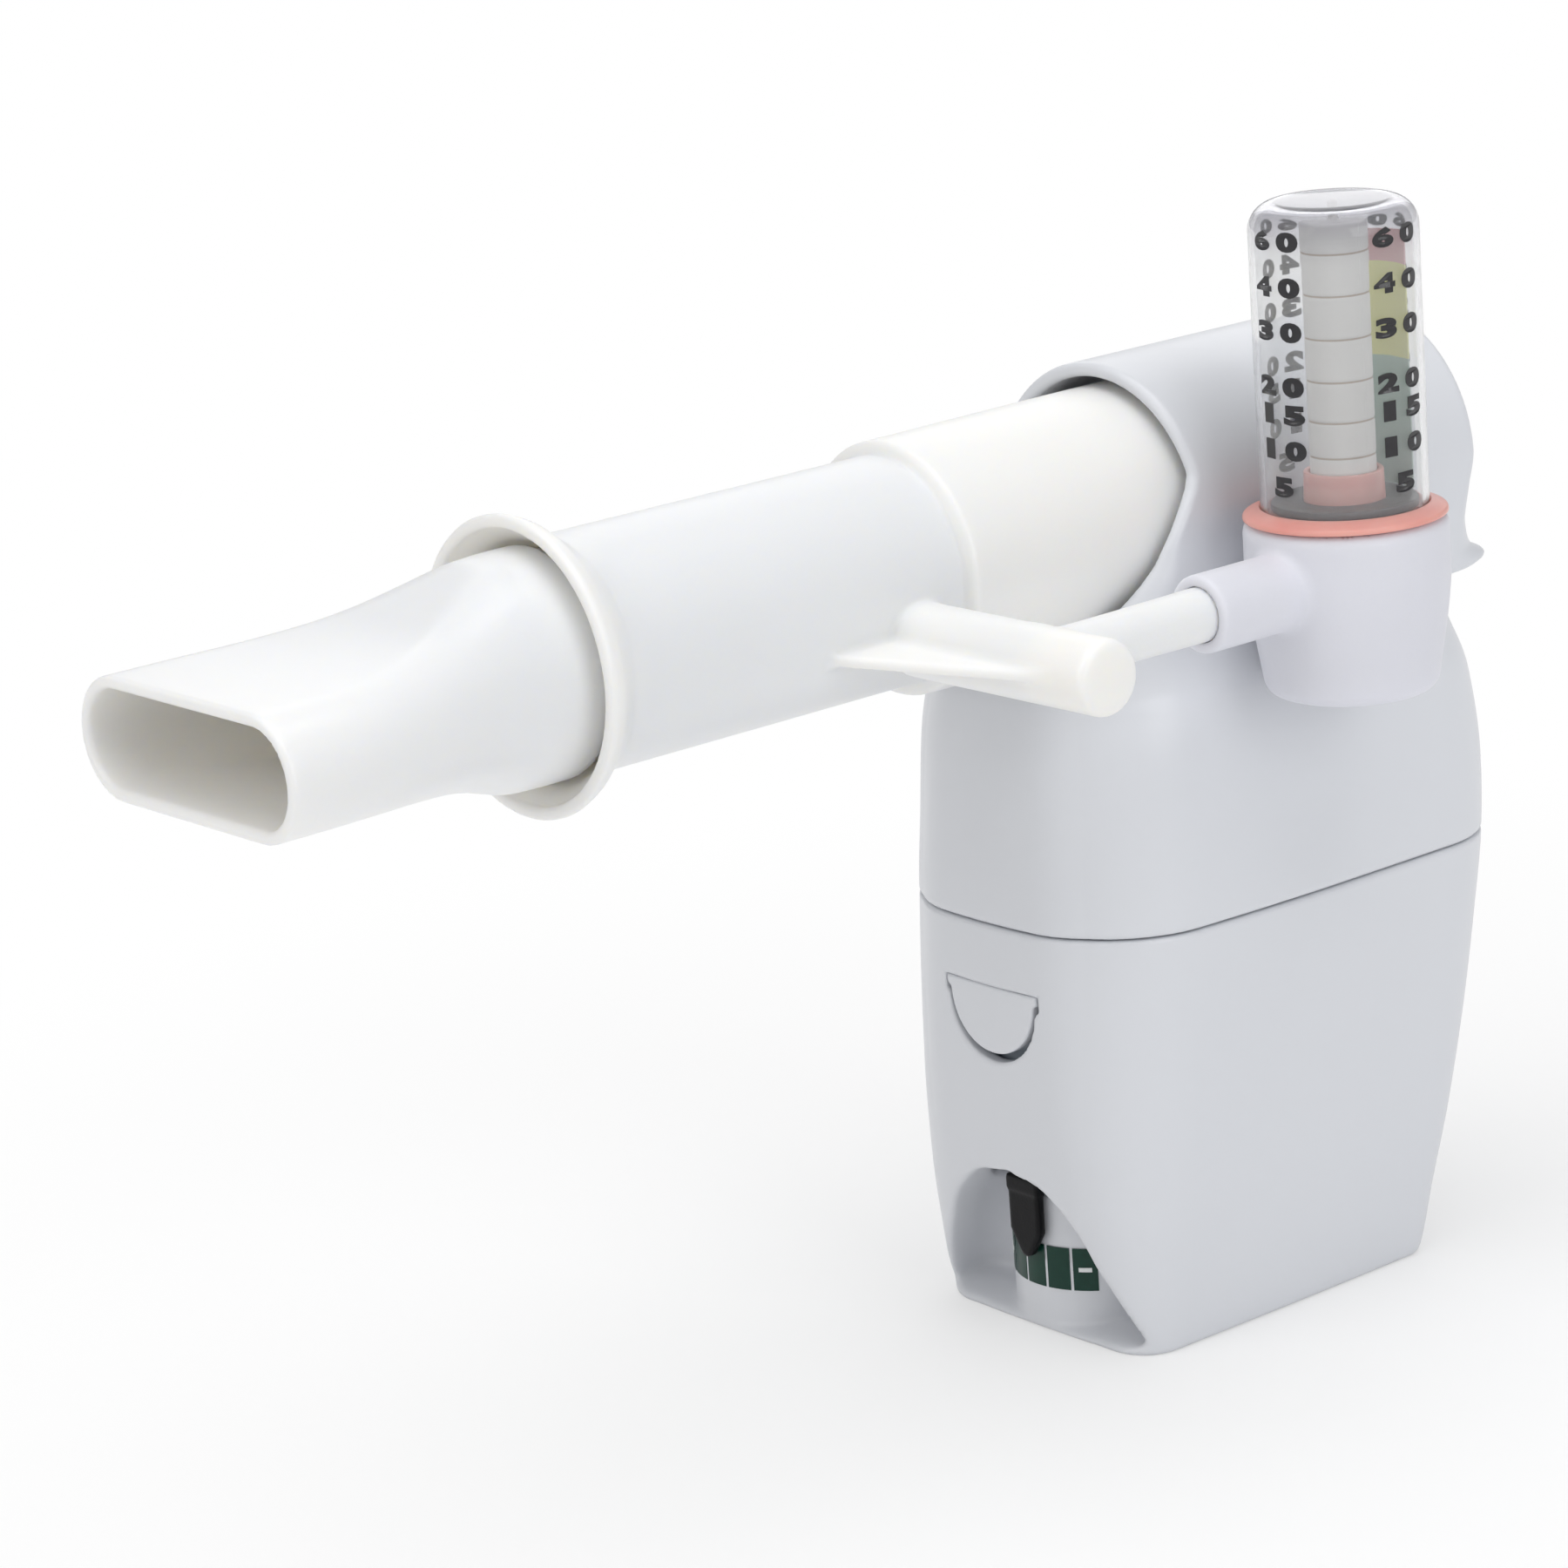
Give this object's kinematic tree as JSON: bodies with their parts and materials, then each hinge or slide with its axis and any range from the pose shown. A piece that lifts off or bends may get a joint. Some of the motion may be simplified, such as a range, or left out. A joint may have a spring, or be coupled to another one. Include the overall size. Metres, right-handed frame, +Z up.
{
  "type": "positive expiratory pressure device",
  "caption": "Breathing trainer: a split valve case with a resistance lever behind an arched window, a plug-in tube with flattened mouthpiece, and a pressure gauge on a side arm.",
  "frame": {"origin": "centre of the foot of the case, on the plane that it stands on", "axes": "+X towards the mouthpiece, +Y towards the pressure gauge, +Z up"},
  "size_m": [0.1682, 0.0618, 0.1267],
  "materials": {
    "lower_case": "satin",
    "upper_case": "satin",
    "front_tab": "satin",
    "rear_tab": "satin",
    "case_gasket": "matt",
    "valve_insert": "matt",
    "variable_nozzle": "matt",
    "lower_bushing": "matt",
    "upper_bushing": "matt",
    "valve_shaft": "polished",
    "valve_vane": "matt",
    "restrictor_disc": "matt",
    "adjust_lever": "matt",
    "shutter_disc": "matt",
    "scale_band": "printed",
    "inlet_adapter": "satin",
    "mouthpiece": "satin",
    "port_grille": "matt",
    "inhalation_flap": "matt",
    "flap_pin": "polished",
    "gauge_cup": "frosted",
    "gauge_dome": "clear plastic",
    "gauge_diaphragm": "translucent",
    "guide_column": "matt",
    "indicator_ring": "matt",
    "indicator_sleeve": "matt",
    "gauge_plunger": "matt",
    "gauge_spring": "polished",
    "colour_strip": "printed film"
  },
  "bodies": {
    "lower_shell": {"lower_case": "lower_case", "scale_band": "scale_band"},
    "front_tab": {"front_tab": "front_tab"},
    "rear_tab": {"rear_tab": "rear_tab"},
    "dial": {"adjust_lever": "adjust_lever", "shutter_disc": "shutter_disc"},
    "valve_frame": {"valve_insert": "valve_insert", "variable_nozzle": "variable_nozzle", "lower_bushing": "lower_bushing", "upper_bushing": "upper_bushing", "case_gasket": "case_gasket"},
    "rotor": {"valve_shaft": "valve_shaft", "valve_vane": "valve_vane", "restrictor_disc": "restrictor_disc"},
    "upper_shell": {"upper_case": "upper_case", "port_grille": "port_grille", "flap_pin": "flap_pin"},
    "flap": {"inhalation_flap": "inhalation_flap"},
    "adapter": {"inlet_adapter": "inlet_adapter"},
    "mouthpiece": {"mouthpiece": "mouthpiece"},
    "gauge": {"gauge_cup": "gauge_cup", "gauge_dome": "gauge_dome", "gauge_diaphragm": "gauge_diaphragm", "guide_column": "guide_column", "colour_strip": "colour_strip", "gauge_spring": "gauge_spring"},
    "indicator": {"indicator_ring": "indicator_ring", "indicator_sleeve": "indicator_sleeve", "gauge_plunger": "gauge_plunger"}
  },
  "joints": [
    {"name": "front_tab_press", "type": "hinge", "parent": "lower_shell", "child": "front_tab", "pos_m": [0.0262, 0, 0.0416], "axis": [0, 1, 0], "range_deg": [0, 7], "stiffness_Nm_per_rad": 0.02},
    {"name": "rear_tab_press", "type": "hinge", "parent": "lower_shell", "child": "rear_tab", "pos_m": [-0.0334, 0, 0.0416], "axis": [0, -1, 0], "range_deg": [0, 7], "stiffness_Nm_per_rad": 0.02},
    {"name": "lever_turn", "type": "hinge", "parent": "lower_shell", "child": "dial", "pos_m": [0.0142, 0, 0.0175], "axis": [0, 0, 1], "range_deg": [-38, 38]},
    {"name": "frame_lift", "type": "slide", "parent": "lower_shell", "child": "valve_frame", "axis": [0, 0, 1], "range_m": [0, 0.03]},
    {"name": "rotor_swing", "type": "hinge", "parent": "valve_frame", "child": "rotor", "pos_m": [0.0142, 0, 0.03], "axis": [0, 0, 1], "range_deg": [-60, 60]},
    {"name": "shell_lift", "type": "slide", "parent": "valve_frame", "child": "upper_shell", "axis": [0, 0, 1], "range_m": [0, 0.03]},
    {"name": "flap_swing", "type": "hinge", "parent": "upper_shell", "child": "flap", "pos_m": [-0.0243, 0, 0.1007], "axis": [0, -1, 0], "range_deg": [0, 35], "stiffness_Nm_per_rad": 0.0005, "springref_deg": -5.73},
    {"name": "tube_swivel", "type": "hinge", "parent": "upper_shell", "child": "adapter", "pos_m": [0, 0, 0.0909], "axis": [1, 0, 0], "range_deg": [0, 120]},
    {"name": "mouthpiece_pull", "type": "slide", "parent": "adapter", "child": "mouthpiece", "axis": [1, 0, 0], "range_m": [0, 0.016]},
    {"name": "gauge_pull", "type": "slide", "parent": "adapter", "child": "gauge", "axis": [-1, 0, 0], "range_m": [0, 0.009]},
    {"name": "indicator_rise", "type": "slide", "parent": "gauge", "child": "indicator", "axis": [0, 0, 1], "range_m": [0, 0.024], "stiffness_N_per_m": 60, "springref_m": -0.001, "deforming": ["gauge_spring"]}
  ]
}
